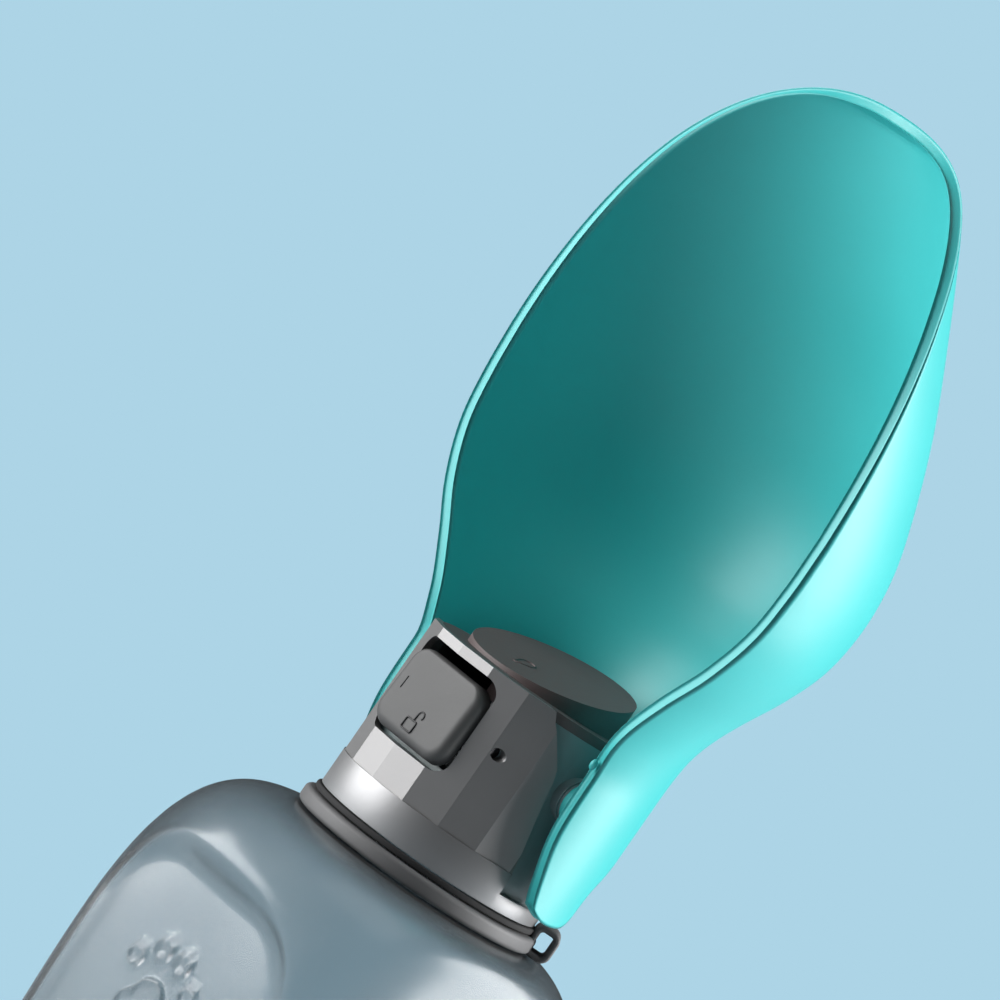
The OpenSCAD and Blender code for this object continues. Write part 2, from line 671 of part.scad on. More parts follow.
module bowl() {
    color([0.2, 0.82, 0.83]) translate([0, 0, hub_z]) difference() {
        bowl_skin();
        both_sides() rod_x(boss_end, hub_out + fit_gap, hub_r + fit_gap);
    }
}

module bowl_hubs() {
    color([0.2, 0.82, 0.83]) both_sides() translate([0, 0, hub_z]) difference() {
        rod_x(hub_in, hub_out, hub_r);
        rod_x(hub_in - 1, pin_out + 0.2, hub_pin_r + pin_gap);
    }
}

bottle_body();
strap_ring();
neck_gasket();
cap_core();
collar();
head_shell();
outlet_hood();
hood_screws();
tube_o_rings();
button();
button_pin();
valve_tube();
valve_plate();
valve_seal();
valve_spring();
bowl_pins();
brake_washers();
bowl();
bowl_hubs();
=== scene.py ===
"""Dog travel water bottle: clear bottle, screw-on head with a rocker button, and a scoop-shaped bowl."""

import math

import bpy
import numpy as np
from mathutils import Matrix, Vector


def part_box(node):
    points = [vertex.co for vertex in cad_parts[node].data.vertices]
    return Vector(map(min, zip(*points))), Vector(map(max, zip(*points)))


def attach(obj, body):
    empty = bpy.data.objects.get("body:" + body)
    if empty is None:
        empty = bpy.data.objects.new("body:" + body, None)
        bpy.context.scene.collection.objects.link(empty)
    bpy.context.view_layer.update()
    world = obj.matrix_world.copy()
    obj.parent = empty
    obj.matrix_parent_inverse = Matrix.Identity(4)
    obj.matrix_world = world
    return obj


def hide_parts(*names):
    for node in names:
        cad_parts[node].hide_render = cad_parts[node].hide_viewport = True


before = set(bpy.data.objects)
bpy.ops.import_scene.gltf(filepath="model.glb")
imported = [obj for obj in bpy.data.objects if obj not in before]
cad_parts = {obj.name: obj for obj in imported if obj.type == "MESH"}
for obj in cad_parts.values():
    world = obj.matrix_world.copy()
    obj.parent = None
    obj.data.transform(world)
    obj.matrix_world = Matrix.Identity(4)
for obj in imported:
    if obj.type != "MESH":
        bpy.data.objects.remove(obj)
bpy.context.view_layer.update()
# Every length below is in millimetres, and each mesh is scaled by MM as it becomes an object
MM = 0.001


# ---------------------------------------------------------------- heights taken from the frame
def low(node):
    """Lowest height of a CAD node, in millimetres."""
    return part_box(node)[0].z / MM


def high(node):
    """Highest height of a CAD node, in millimetres."""
    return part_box(node)[1].z / MM


RING_H = 3.0
RING_GAP = 0.3
RING_Z = low("strap_ring")
RING_MID = RING_Z + RING_H / 2
SHELF_Z = RING_Z - RING_GAP
NECK_TOP = high("bottle_body")
COLLAR_Z = low("collar")
HEAD_TOP = high("head_shell")
HUB_Z = (low("bowl_hubs") + high("bowl_hubs")) / 2
PIN_Z = (low("button_pin") + high("button_pin")) / 2
SLEEVE_DROP = HUB_Z - low("bowl")
BOWL_TOP = high("bowl") - HUB_Z


# ---------------------------------------------------------------- small helpers
def linear(r, g, b):
    """Linear colour of an sRGB colour given in 0 to 255."""
    def one(c):
        c /= 255
        return c / 12.92 if c <= 0.04045 else ((c + 0.055) / 1.055) ** 2.4
    return one(r), one(g), one(b), 1.0


def new_object(name, verts, faces):
    """A smooth-shaded object of a mesh in metres, linked to the scene."""
    mesh = bpy.data.meshes.new(name)
    mesh.from_pydata([tuple(v) for v in verts], [], faces)
    mesh.update()
    mesh.polygons.foreach_set("use_smooth", [True] * len(mesh.polygons))
    obj = bpy.data.objects.new(name, mesh)
    bpy.context.scene.collection.objects.link(obj)
    return obj


def bezier(points, count):
    """Points on a cubic curve with four control points, without the first."""
    a, b, c, d = (np.array(p, float) for p in points)
    ts = [(k + 1) / count for k in range(count)]
    return [(1 - t) ** 3 * a + 3 * t * (1 - t) ** 2 * b + 3 * t * t * (1 - t) * c + t ** 3 * d for t in ts]


def rounded_line(points, steps=4):
    """A line through (r, z, fillet radius) points, with each corner turned into a short curve."""
    out = []
    for k, (r, z, fillet) in enumerate(points):
        here = np.array((r, z), float)
        if fillet == 0 or k in (0, len(points) - 1):
            out.append(here)
            continue
        before = np.array(points[k - 1][:2], float) - here
        after = np.array(points[k + 1][:2], float) - here
        start = here + before / np.linalg.norm(before) * fillet
        end = here + after / np.linalg.norm(after) * fillet
        for s in range(steps + 1):
            t = s / steps
            out.append((1 - t) ** 2 * start + 2 * t * (1 - t) * here + t * t * end)
    return out


def smooth_min(a, b, k):
    """The lesser of two numbers, blended over a width k where they are close."""
    h = np.clip(0.5 + 0.5 * (b - a) / k, 0, 1)
    return b * (1 - h) + a * h - k * h * (1 - h)


def smooth_step(x):
    """0 below 0, 1 above 1, and a smooth rise between."""
    x = np.clip(x, 0, 1)
    return x * x * (3 - 2 * x)


def smooth_through(points, x, start=0.0):
    """Smooth curve through (x, y) points, which leaves its first point at the slope start."""
    k = 0
    while k < len(points) - 2 and x > points[k + 1][0]:
        k += 1

    def slope(i):
        if i == 0:
            return start
        j = min(i + 1, len(points) - 1)
        return (points[j][1] - points[i - 1][1]) / (points[j][0] - points[i - 1][0])
    w = points[k + 1][0] - points[k][0]
    t = (x - points[k][0]) / w
    return ((2 * t ** 3 - 3 * t * t + 1) * points[k][1] + (t ** 3 - 2 * t * t + t) * w * slope(k)
            + (3 * t * t - 2 * t ** 3) * points[k + 1][1] + (t ** 3 - t * t) * w * slope(k + 1))


def closed_faces(rows, columns):
    """Faces of a grid that closes on itself both ways, like a ring."""
    faces = []
    for i in range(rows):
        for j in range(columns):
            k, m = (i + 1) % rows, (j + 1) % columns
            faces.append((i * columns + j, i * columns + m, k * columns + m, k * columns + j))
    return faces


def grid_faces(rows, columns):
    """Faces of a grid whose rows close on themselves, like a pipe."""
    faces = []
    for i in range(rows - 1):
        for j in range(columns):
            a, b = i * columns + j, i * columns + (j + 1) % columns
            faces.append((a, b, b + columns, a + columns))
    return faces


def rounded_rectangle(half_w, half_h, radius, steps=6):
    """Points of a rectangle with round corners about the origin, and their outward normals."""
    points, normals = [], []
    for corner, (sx, sy) in enumerate(((1, 1), (-1, 1), (-1, -1), (1, -1))):
        for k in range(steps + 1):
            a = math.radians(90 * corner + 90 * k / steps)
            n = np.array((math.cos(a), math.sin(a)))
            points.append(np.array((sx * (half_w - radius), sy * (half_h - radius))) + radius * n)
            normals.append(n)
    return np.array(points), np.array(normals)


def merged(parts):
    """Vertices and faces of several meshes as one."""
    verts, faces = [], []
    for part_verts, part_faces in parts:
        faces += [tuple(i + len(verts) for i in face) for face in part_faces]
        verts += [tuple(v) for v in part_verts]
    return verts, faces


def tube(points, radius, closed=False, sides=8):
    """A round bar of a mesh along points, in millimetres; radius is one number or one for each point."""
    points = np.array(points, float)
    count = len(points)
    radii = np.broadcast_to(np.asarray(radius, float), (count,))
    verts = []
    for k in range(count):
        after = points[(k + 1) % count] if closed else points[min(k + 1, count - 1)]
        before = points[k - 1] if closed or k else points[0]
        along = (after - before) / np.linalg.norm(after - before)
        side = np.cross(along, (0.13, 0.92, 0.37))
        side /= np.linalg.norm(side)
        other = np.cross(along, side)
        for m in range(sides):
            a = 2 * math.pi * m / sides
            verts.append(points[k] + radii[k] * (math.cos(a) * side + math.sin(a) * other))
    faces = []
    for k in range(count if closed else count - 1):
        for m in range(sides):
            a, b = k * sides + m, k * sides + (m + 1) % sides
            c, d = (k + 1) % count * sides + (m + 1) % sides, (k + 1) % count * sides + m
            faces.append((a, b, c, d))
    if not closed:
        faces += [tuple(range(sides))[::-1], tuple((count - 1) * sides + m for m in range(sides))]
    return verts, faces


def grid_normals(grid, closed):
    """Unit normals of a grid of points [row, column, xyz]."""
    up = np.gradient(grid, axis=0)
    if closed:
        side = np.roll(grid, -1, axis=1) - np.roll(grid, 1, axis=1)
    else:
        side = np.gradient(grid, axis=1)
    n = np.cross(side, up)
    return n / np.maximum(np.linalg.norm(n, axis=2, keepdims=True), 1e-12)


# ---------------------------------------------------------------- materials
GRAIN_DEPTH = 0.0002


def material(name, color, rough, metallic=0.0, bump=0.0, bump_scale=900.0, tint=0.0, tint_scale=60.0,
             rough_vary=0.0):
    """Moulded surface: slow colour change, fine grain in the bump, and uneven roughness."""
    mat = bpy.data.materials.new(name)
    mat.use_nodes = True
    nodes, links = mat.node_tree.nodes, mat.node_tree.links
    shader = nodes["Principled BSDF"]
    shader.inputs["Base Color"].default_value = color
    shader.inputs["Roughness"].default_value = rough
    shader.inputs["Metallic"].default_value = metallic
    coords = nodes.new("ShaderNodeTexCoord")
    if tint or rough_vary:
        slow = nodes.new("ShaderNodeTexNoise")
        slow.inputs["Scale"].default_value = tint_scale
        slow.inputs["Detail"].default_value = 4
        links.new(coords.outputs["Object"], slow.inputs["Vector"])
    if tint:
        ramp = nodes.new("ShaderNodeValToRGB")
        darker, lighter = ramp.color_ramp.elements
        darker.position, lighter.position = 0.3, 0.7
        darker.color = [c * (1 - tint) for c in color[:3]] + [1]
        lighter.color = [min(1, c * (1 + tint)) for c in color[:3]] + [1]
        links.new(slow.outputs["Fac"], ramp.inputs["Fac"])
        links.new(ramp.outputs["Color"], shader.inputs["Base Color"])
    if rough_vary:
        spread = nodes.new("ShaderNodeMapRange")
        spread.inputs["To Min"].default_value = max(0.02, rough - rough_vary)
        spread.inputs["To Max"].default_value = min(1, rough + rough_vary)
        links.new(slow.outputs["Fac"], spread.inputs["Value"])
        links.new(spread.outputs["Result"], shader.inputs["Roughness"])
    if bump:
        grain = nodes.new("ShaderNodeTexNoise")
        grain.inputs["Scale"].default_value = bump_scale
        grain.inputs["Detail"].default_value = 3
        links.new(coords.outputs["Object"], grain.inputs["Vector"])
        relief = nodes.new("ShaderNodeBump")
        relief.inputs["Strength"].default_value = bump
        relief.inputs["Distance"].default_value = GRAIN_DEPTH
        links.new(grain.outputs["Fac"], relief.inputs["Height"])
        links.new(relief.outputs["Normal"], shader.inputs["Normal"])
    return mat


def clear_material(name, rough, wall_color, density):
    """Smoky clear plastic: a little haze on its surface, and the tint is inside its wall."""
    mat = material(name, (0.9, 0.92, 0.93, 1), rough, tint=0.02, tint_scale=18, rough_vary=0.03)
    nodes, links = mat.node_tree.nodes, mat.node_tree.links
    shader = nodes["Principled BSDF"]
    shader.inputs["Transmission Weight"].default_value = 0.97
    shader.inputs["IOR"].default_value = 1.36
    inside = nodes.new("ShaderNodeVolumeAbsorption")
    inside.inputs["Color"].default_value = wall_color
    inside.inputs["Density"].default_value = density
    links.new(inside.outputs[0], nodes["Material Output"].inputs["Volume"])
    return mat


SHELL_GREY = material("shell_grey", linear(126, 125, 125), 0.42, metallic=0.55, bump=0.05, tint=0.04,
                      rough_vary=0.04)
COLLAR_GREY = material("collar_grey", linear(132, 132, 133), 0.42, metallic=0.6, bump=0.04, tint=0.03,
                       rough_vary=0.03)
BUTTON_GREY = material("button_grey", linear(66, 66, 66), 0.6, bump=0.1, tint=0.05, rough_vary=0.05)
HOOD_GREY = material("hood_grey", linear(82, 70, 70), 0.6, bump=0.12, tint=0.05, rough_vary=0.05)
# Core grey with a blue-green cast: the grey is the core's own, the cast is painted reflection of the teal
# bowl
CORE_GREY_PAINTED_REFLECTION = material("core_grey_painted_reflection", linear(108, 124, 126), 0.4, bump=0.06, tint=0.05, rough_vary=0.05)
RING_GREY = material("ring_grey", linear(88, 88, 89), 0.6, bump=0.08, tint=0.05, rough_vary=0.05)
ICON_GREY = material("icon_grey", linear(44, 44, 45), 0.6, bump=0.1, tint=0.05)
PALE_PLASTIC = material("pale_plastic", linear(222, 225, 226), 0.35, bump=0.05, tint=0.02)
SEAL = material("seal_silicone", linear(225, 225, 220), 0.55, bump=0.08, tint=0.02)
RUBBER = material("black_rubber", linear(16, 16, 17), 0.8, bump=0.1, tint=0.1)
STEEL = material("steel", linear(196, 198, 200), 0.22, metallic=1.0, bump=0.05, tint=0.03, rough_vary=0.05)
BOWL = material("bowl_silicone", linear(54, 172, 172), 0.45, bump=0.06, bump_scale=700, tint=0.03,
                tint_scale=25, rough_vary=0.05)
# Steel darkened so the button pin's ends in their holes look black: painted shade of the pin holes
PIN_STEEL_PAINTED_SHADE = material("pin_steel_painted_shade", linear(58, 58, 60), 0.35, metallic=1.0, tint=0.05)
CLEAR = clear_material("clear_plastic", 0.24, (0.32, 0.30, 0.30, 1), 340)

FINISHES = {
    "strap_ring": RING_GREY, "neck_gasket": SEAL, "cap_core": CORE_GREY_PAINTED_REFLECTION, "collar": COLLAR_GREY,
    "head_shell": SHELL_GREY, "outlet_hood": HOOD_GREY, "hood_screws": STEEL, "tube_o_rings": RUBBER,
    "button": BUTTON_GREY, "button_pin": PIN_STEEL_PAINTED_SHADE, "valve_tube": PALE_PLASTIC, "valve_plate": PALE_PLASTIC,
    "valve_seal": SEAL, "valve_spring": STEEL, "bowl_pins": STEEL, "brake_washers": CORE_GREY_PAINTED_REFLECTION,
    "bowl_hubs": BOWL, "bottle_body": CLEAR, "bowl": BOWL,
}
# Radius of the moulded edges of each CAD node, in millimetres
EDGES = {"collar": 0.3, "head_shell": 0.28, "outlet_hood": 0.7, "cap_core": 0.15, "bowl_hubs": 0.2}
WELD_GAP = 1e-6
FLAT_ANGLE = math.radians(0.5)
BEVEL_ANGLE = math.radians(40)
FACET_ANGLE = math.radians(17)


def dress_cad_nodes():
    """Finish on each CAD node that stays, and softened edges on those in EDGES."""
    for name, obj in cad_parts.items():
        obj.data.materials.clear()
        obj.data.materials.append(FINISHES[name])
        weld = obj.modifiers.new("weld", "WELD")
        weld.merge_threshold = WELD_GAP
        if name in EDGES:
            flat = obj.modifiers.new("flat", "DECIMATE")
            flat.decimate_type = "DISSOLVE"
            flat.angle_limit = FLAT_ANGLE
            bevel = obj.modifiers.new("edges", "BEVEL")
            bevel.width = EDGES[name] * MM
            bevel.segments = 3
            bevel.limit_method = "ANGLE"
            bevel.angle_limit = FACET_ANGLE if name == "head_shell" else BEVEL_ANGLE


# ---------------------------------------------------------------- bottle
# Body, panels, neck with its flange and thread, and the paw with its pads as (x, height, radius)
BODY_R = 42.1
WAIST_R = 40.2
FOOT_R = 35.0
FOOT_BAND = 5.0
WALL = 1.6
WIDEST_Z = 116.6
NECK_FOOT_R = BODY_R - 19
SIDE_X = 31.9
FRONT_Y = 35.0
PANEL_BOTTOM = 26.0
PANEL_TOP = SHELF_Z - 17
FAR = 200.0
PANEL_HALF_W = 24.0
PANEL_CORNER = 15.0
PANEL_RISE = 1.4
PANEL_BLEND = 6.5
PUNT = 2.0
SEAT_R = 19.0
FLANGE_Z = RING_Z + 3.3
FLANGE_T = 0.9
FLANGE_R = 21.4
NECK_R = 17.2
BORE_R = 15.2
PITCH = 3.0
THREAD_Z = COLLAR_Z + 3.4
THREAD_TURNS = 1.5
NECK_STEP = 0.2
NECK_ROWS = 45
RIB_HALF_H = 0.65
RIB_SLOPE = 0.3
RIB_FADE = 0.04
PAW_Z = PANEL_TOP - 17
PAW_REACH = 16
PAW_ANGLE = math.radians(17)
PAW_COLUMNS = 96
REST_COLUMNS = 190
PAW_RELIEF = 0.8
PAW_EDGE = 0.5
PAW_HOLLOW = 0.6
PAW_RIM = 1.6
TOES = [(-7.4, 0.0, 2.3), (-2.7, 3.6, 2.5), (2.7, 3.6, 2.5), (7.4, 0.0, 2.3)]
PAD = [(0.0, -5.0, 4.2), (-3.2, -7.4, 3.0), (3.2, -7.4, 3.0)]


def paw_height(x, z):
    """Relief of the raised paw at a place on the front panel: a rim round each pad, lower inside."""
    dist = np.full(np.shape(x), 99.0)
    for cx, cz, r in TOES + PAD:
        dist = np.minimum(dist, np.hypot(x - cx, z - PAW_Z - cz) - r)
    return PAW_RELIEF * (smooth_step(-dist / PAW_EDGE) - PAW_HOLLOW * smooth_step(-dist / PAW_EDGE - PAW_RIM))


def panel_radius(r0, z, theta):
    """Radius of the bottle where its four flat panels cut it. theta is 0 at +X."""
    cos_x, cos_y = np.abs(np.cos(theta)), np.maximum(np.abs(np.sin(theta)), 1e-3)
    side = (SIDE_X + np.maximum(0, PANEL_BOTTOM - z)) / np.maximum(cos_x, 1e-3)
    x_on = cos_x * FRONT_Y / cos_y
    mid_z = (PANEL_TOP + PANEL_BOTTOM) / 2
    half_h = (PANEL_TOP - PANEL_BOTTOM) / 2
    dx = np.maximum(0, x_on - (PANEL_HALF_W - PANEL_CORNER))
    dz = np.maximum(0, np.abs(z - mid_z) - (half_h - PANEL_CORNER))
    outside = np.maximum(0, np.hypot(dx, dz) - PANEL_CORNER)
    front = (FRONT_Y + PANEL_RISE * outside) / cos_y
    r = smooth_min(r0, np.minimum(side, FAR), PANEL_BLEND)
    return smooth_min(r, np.minimum(front, FAR), PANEL_BLEND)


def body_rows():
    """Outline of the bottle's body as (r, z), from the foot's inner edge up to the shelf's end."""
    low_r = WAIST_R + 0.8
    rows = rounded_line([(FOOT_R - FOOT_BAND, 0, 0), (FOOT_R, 0, 0)])
    rows += bezier([(FOOT_R, 0), (FOOT_R + 4, 0), (low_r, 3), (low_r, 12)], 14)
    rows += bezier([(low_r, 12), (low_r, 30), (WAIST_R, 40), (WAIST_R, 60)], 30)
    rows += bezier([(WAIST_R, 60), (WAIST_R, 82), (BODY_R, 98), (BODY_R, WIDEST_Z)], 130)
    rows += bezier([(BODY_R, WIDEST_Z), (BODY_R, WIDEST_Z + 22.5), (BODY_R - 6.1, SHELF_Z - 0.7),
                    (NECK_FOOT_R, SHELF_Z)], 60)
    return rows


def front_heavy_angles():
    """Angles round the bottle, closer together across the paw at the front."""
    near, front = PAW_ANGLE, -math.pi / 2
    fine = [front - near + 2 * near * k / PAW_COLUMNS for k in range(PAW_COLUMNS)]
    rest = 2 * math.pi - 2 * near
    return np.array(fine + [front + near + rest * k / REST_COLUMNS for k in range(REST_COLUMNS)])


def thread_height(z, theta):
    """Height of the screw thread's rib on the neck."""
    turn = np.mod(theta, 2 * math.pi) / (2 * math.pi)
    rib = np.zeros(np.shape(theta))
    for lap in (0, 1):
        along = turn + lap
        off = np.abs(z - THREAD_Z - PITCH * along)
        ends = smooth_step(along / RIB_FADE) * smooth_step((THREAD_TURNS - along) / RIB_FADE)
        rib = np.maximum(rib, np.clip((RIB_HALF_H - off) / RIB_SLOPE, 0, 1) * ends)
    return rib


def bottle_rows(theta):
    """Rows of points of the bottle, up its outside, over the lip and down its inside."""
    columns = len(theta)
    circle = np.stack([np.cos(theta), np.sin(theta)], axis=1)

    def ring(r, z):
        radius = np.broadcast_to(np.asarray(r, float), (columns,))
        return np.column_stack([circle * radius[:, None], np.full(columns, z)])

    body, plain = [], []
    for r0, z in body_rows():
        r = panel_radius(np.full(columns, r0), z, theta)
        plain.append(ring(r, z))
        in_front = (np.sin(theta) < 0) & (abs(z - PAW_Z) < PAW_REACH)
        body.append(ring(r + np.where(in_front, paw_height(r * np.cos(theta), z), 0), z))
    plain = np.array(plain)
    inner = (plain - WALL * grid_normals(plain, True))[2:]
    flange_top = FLANGE_Z + FLANGE_T
    seat = rounded_line([(NECK_FOOT_R, SHELF_Z, 0), (SEAT_R, SHELF_Z, 0.2), (SEAT_R, FLANGE_Z, 0.1),
                         (FLANGE_R, FLANGE_Z, 0.35), (FLANGE_R, flange_top, 0.35),
                         (NECK_R, flange_top, 0.2), (NECK_R, flange_top + 1, 0)])[1:]
    neck = [flange_top + 1 + NECK_STEP * k for k in range(1, NECK_ROWS + 1)]
    lip = rounded_line([(NECK_R, NECK_TOP - 1, 0), (NECK_R, NECK_TOP, 0.5), (BORE_R, NECK_TOP, 0.5),
                        (BORE_R, NECK_TOP - 2, 0), (BORE_R, SHELF_Z - WALL, 1.5),
                        (NECK_FOOT_R - 0.4, SHELF_Z - WALL - 0.3, 0)])
    top = [ring(r, z) for r, z in seat]
    top += [ring(NECK_R + thread_height(z, theta), z) for z in neck if z < NECK_TOP - 1.2]
    top += [ring(r, z) for r, z in lip]
    foot_in = FOOT_R - FOOT_BAND
    return [ring(foot_in - 3, PUNT)] + body + top + list(inner[::-1]) + [ring(foot_in - 1, PUNT + WALL)]


def build_bottle():
    """The clear bottle as one closed wall, with a punt in its base and a thread on its neck."""
    theta = front_heavy_angles()
    rows = bottle_rows(theta)
    columns, count = len(theta), len(rows)
    grid = np.array(rows) * MM
    verts = list(grid.reshape(-1, 3)) + [(0, 0, PUNT * MM), (0, 0, (PUNT + WALL) * MM)]
    faces = grid_faces(count, columns)
    bottom, floor = count * columns, count * columns + 1
    last = (count - 1) * columns
    for j in range(columns):
        k = (j + 1) % columns
        faces += [(bottom, k, j), (floor, last + j, last + k)]
    obj = new_object("bottle", verts, faces)
    obj.data.materials.append(CLEAR)
    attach(obj, "bottle")
    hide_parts("bottle_body")


# ---------------------------------------------------------------- strap ring
RING_R = 23.1
RING_BORE = 19.3
RING_FILLET = 0.85
LOOP_IN = 21.55
LOOP_OUT = 26.4
LOOP_HALF_W = 3.5
LOOP_BAR = 1.15
LOOP_CORNER = 1.2
LOOP_DIR = math.radians(134.5)
# Dark ring round the flange: painted shade for the gap above the strap ring, not a working part
FLANGE_SHADE_R = 21.3
FLANGE_SHADE_HALF = 0.55
RING_COLUMNS = 180


def lathe(section):
    """Vertices and faces of a ring with a closed section of (r, z) points."""
    verts = []
    for k in range(RING_COLUMNS):
        a = 2 * math.pi * k / RING_COLUMNS
        verts += [(r * math.cos(a), r * math.sin(a), z) for r, z in section]
    return verts, closed_faces(RING_COLUMNS, len(section))


def build_flange_shade_ring():
    """Dark ring round the flange, there only as painted shade in the gap between the strap ring and the
    collar.
    """
    section, _ = rounded_rectangle(FLANGE_SHADE_HALF, FLANGE_SHADE_HALF, 0.3, 4)
    section = [(FLANGE_SHADE_R + x, FLANGE_Z + FLANGE_T / 2 + z) for x, z in section]
    verts, faces = lathe(section)
    obj = new_object("flange_shade_ring", np.array(verts) * MM, faces)
    # The black rubber finish here is painted shade, not a rubber part
    obj.data.materials.append(RUBBER)
    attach(obj, "bottle")


def build_strap_ring():
    """Round ring with softened edges, and the open loop for a strap at its right."""
    half_w, half_h = (RING_R - RING_BORE) / 2, RING_H / 2
    section, _ = rounded_rectangle(half_w, half_h, RING_FILLET)
    ring = lathe([(RING_BORE + half_w + across, RING_Z + half_h + up) for across, up in section])
    tall = high("strap_ring") - RING_Z
    path, away = rounded_rectangle((LOOP_OUT - LOOP_IN - LOOP_BAR) / 2, (tall - LOOP_BAR) / 2, LOOP_CORNER)
    bar, _ = rounded_rectangle(LOOP_BAR / 2, LOOP_HALF_W, 0.4, 3)
    out = np.array((math.sin(LOOP_DIR), -math.cos(LOOP_DIR), 0))
    side = np.array((out[1], -out[0], 0))
    middle = out * (LOOP_OUT + LOOP_IN) / 2 + np.array((0, 0, RING_Z + tall / 2))
    loop = []
    for (x, z), (nx, nz) in zip(path, away):
        for lift, wide in bar:
            loop.append(middle + (x + lift * nx) * out + (0, 0, z + lift * nz) + wide * side)
    verts, faces = merged([ring, (loop, closed_faces(len(path), len(bar)))])
    obj = new_object("strap_ring_moulded", np.array(verts) * MM, faces)
    obj.data.materials.append(RING_GREY)
    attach(obj, "strap")
    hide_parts("strap_ring")


# ---------------------------------------------------------------- button
# Heights and reaches are measured from the pivot
BUTTON_HALF_W = 9.6
BUTTON_H = 15.0
BUTTON_HIGH = 7.05
BUTTON_CORNER = 3.6
BUTTON_FILLET = 1.7
BUTTON_TOP_SHARE = 0.4
BUTTON_CROWN = 0.12
BUTTON_BACK = 2.4
PIVOT_Y = 15.0
FACE_REACH = 5.9
BUTTON_TILT = math.radians(4)
ARM_IN = 8.0
ARM_OUT = 9.5
ARM_HALF_H = 1.3
PEG_R = 0.8
PEG_IN = 6.2
FILLET_STEPS = 8


def on_button(points):
    """Points of the button's own frame, whose origin is the pivot and whose face looks at -Y."""
    c, s = math.cos(BUTTON_TILT), math.sin(BUTTON_TILT)
    return [(x, y * c + z * s - PIVOT_Y, z * c - y * s + PIN_Z) for x, y, z in points]


def bar_mesh(a, b):
    """Closed bar between two corners of a box."""
    corners = [(x, y, z) for x in (a[0], b[0]) for y in (a[1], b[1]) for z in (a[2], b[2])]
    return corners, [(0, 1, 3, 2), (4, 6, 7, 5), (0, 4, 5, 1), (2, 3, 7, 6), (0, 2, 6, 4), (1, 5, 7, 3)]


def button_rings():
    """Rings of the button from the middle of its face to the middle of its back."""
    def outline(inset, y, scale=1.0):
        bottom, top = BUTTON_HIGH - BUTTON_H + inset, BUTTON_HIGH - BUTTON_TOP_SHARE * inset
        radius = max(BUTTON_CORNER - inset, 0.4)
        points, _ = rounded_rectangle(BUTTON_HALF_W - inset, (top - bottom) / 2, radius, 8)
        return [(scale * x, y, (top + bottom) / 2 + scale * z) for x, z in points]
    shares = (0.02, 0.25, 0.5, 0.75, 0.9)
    rings = [outline(BUTTON_FILLET, -FACE_REACH + BUTTON_CROWN * f * f, f) for f in shares]
    for k in range(FILLET_STEPS + 1):
        a = math.radians(90 * k / FILLET_STEPS)
        y = -FACE_REACH + BUTTON_CROWN + (BUTTON_FILLET - BUTTON_CROWN) * (1 - math.cos(a))
        rings.append(outline(BUTTON_FILLET * (1 - math.sin(a)), y))
    rings += [outline(0, -BUTTON_BACK - 0.3), outline(0.3, -BUTTON_BACK), outline(1.5, -BUTTON_BACK)]
    rings.append(outline(1.5, -BUTTON_BACK, 0.02))
    return rings


def build_button():
    """Rounded rocker with its two arms and the pegs that lift the valve."""
    rings = button_rings()
    count = len(rings[0])
    faces = grid_faces(len(rings), count)
    faces += [tuple(range(count))[::-1], tuple((len(rings) - 1) * count + j for j in range(count))]
    parts = [(on_button([point for ring in rings for point in ring]), faces)]
    for side in (-1, 1):
        arm = bar_mesh((side * ARM_IN, -3, -ARM_HALF_H), (side * ARM_OUT, PIVOT_Y + ARM_HALF_H, ARM_HALF_H))
        peg = tube([(side * PEG_IN, PIVOT_Y, 0), (side * (ARM_IN + 0.4), PIVOT_Y, 0)], PEG_R, sides=16)
        parts += [(on_button(arm[0]), arm[1]), (on_button(peg[0]), peg[1])]
    verts, faces = merged(parts)
    obj = new_object("rocker_button", np.array(verts) * MM, faces)
    obj.data.set_sharp_from_angle(angle=math.radians(40))
    obj.data.materials.append(BUTTON_GREY)
    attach(obj, "button")
    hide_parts("button")


# ---------------------------------------------------------------- marks
LINE_R = 0.17


def arc(x, z, radius, start, end, count=12):
    """Points on an arc between two angles in degrees."""
    steps = [math.radians(start + (end - start) * k / count) for k in range(count + 1)]
    return [(x + radius * math.cos(a), z + radius * math.sin(a)) for a in steps]


def build_button_mark():
    """Plain open padlock and a short tick in thin raised lines on the button's face."""
    body, _ = rounded_rectangle(1.3, 1.0, 0.3, 3)
    body = [(x, z - 5.1) for x, z in body]
    shackle = [(0.45, -4.0)] + arc(1.15, -2.75, 0.7, 180, -40)
    tick = [(-6.7, -1.2), (-6.7, 1.1)]
    parts = []
    for line, closed, radius in ((body, True, LINE_R), (shackle, False, LINE_R), (tick, False, 0.1)):
        reach = -FACE_REACH + BUTTON_CROWN * (line[0][0] / BUTTON_HALF_W) ** 2
        verts, faces = tube([(x, reach, z) for x, z in line], radius, closed, 6)
        parts.append((on_button(verts), faces))
    verts, faces = merged(parts)
    obj = new_object("button_mark", np.array(verts) * MM, faces)
    obj.data.materials.append(ICON_GREY)
    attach(obj, "button")


HOOD_R = 14.7
HOOD_FRONT = HEAD_TOP + 0.7
HOOD_SLOPE = math.tan(math.radians(12.8))
DROP_Y = -6.4
DROP_R = 1.5
DROP_LENGTH = 4.6


def build_hood_mark():
    """Plain water drop in a thin raised line on the hood's sloping top."""
    round_end = arc(0, 0, DROP_R, -205, 25, 20)
    tip = [(0.0, DROP_LENGTH - DROP_R)]
    points = []
    for x, y in round_end + tip:
        y = DROP_Y - y
        points.append((x, y, HOOD_FRONT + (y + HOOD_R) * HOOD_SLOPE))
    verts, faces = tube(points, LINE_R, True, 6)
    obj = new_object("hood_mark", np.array(verts) * MM, faces)
    obj.data.materials.append(HOOD_GREY)
    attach(obj, "head")


